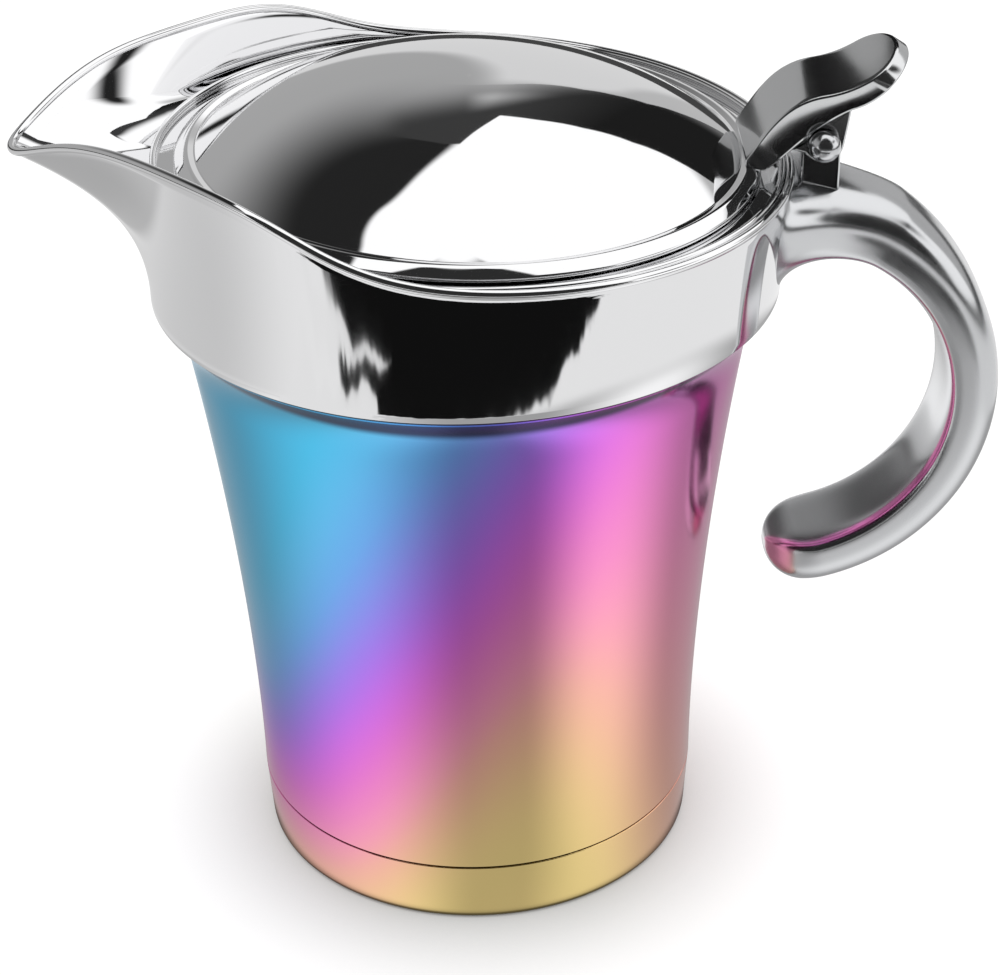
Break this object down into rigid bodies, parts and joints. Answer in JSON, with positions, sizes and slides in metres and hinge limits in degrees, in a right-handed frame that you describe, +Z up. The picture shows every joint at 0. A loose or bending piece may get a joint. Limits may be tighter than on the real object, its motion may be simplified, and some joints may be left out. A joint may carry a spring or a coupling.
{
  "type": "gravy boat",
  "caption": "Insulated steel gravy boat with a flared round body, pouring spout, open loop handle and a hinged domed lid opened by a thumb lever.",
  "frame": {"origin": "centre of the flat base, on the surface it stands on", "axes": "+Z up, -X toward the tip of the spout, +X toward the handle and the lid hinge, the boat is symmetric about the XZ plane"},
  "size_m": [0.1782, 0.116, 0.1587],
  "materials": {
    "polished_steel": "mirror polished stainless steel",
    "inner_steel": "satin stainless steel",
    "coated_steel": "satin gloss rainbow vapour coating on stainless steel"
  },
  "bodies": {
    "boat": {"base_cap": "coated_steel", "bottom_disc": "inner_steel", "outer_shell": "coated_steel", "liner": "inner_steel", "seat_ring": "polished_steel", "collar": "polished_steel", "spout_tray": "polished_steel", "handle": "polished_steel", "hinge_block": "polished_steel", "hinge_pin": "polished_steel", "pin_cap": "polished_steel"},
    "lid": {"thumb_lever": "polished_steel", "lid_dome": "polished_steel", "lid_pan": "inner_steel"}
  },
  "joints": [
    {"name": "lid_hinge", "type": "hinge", "parent": "boat", "child": "lid", "pos_m": [0.0629, 0, 0.1437], "axis": [0, 1, 0], "range_deg": [0, 75]}
  ]
}
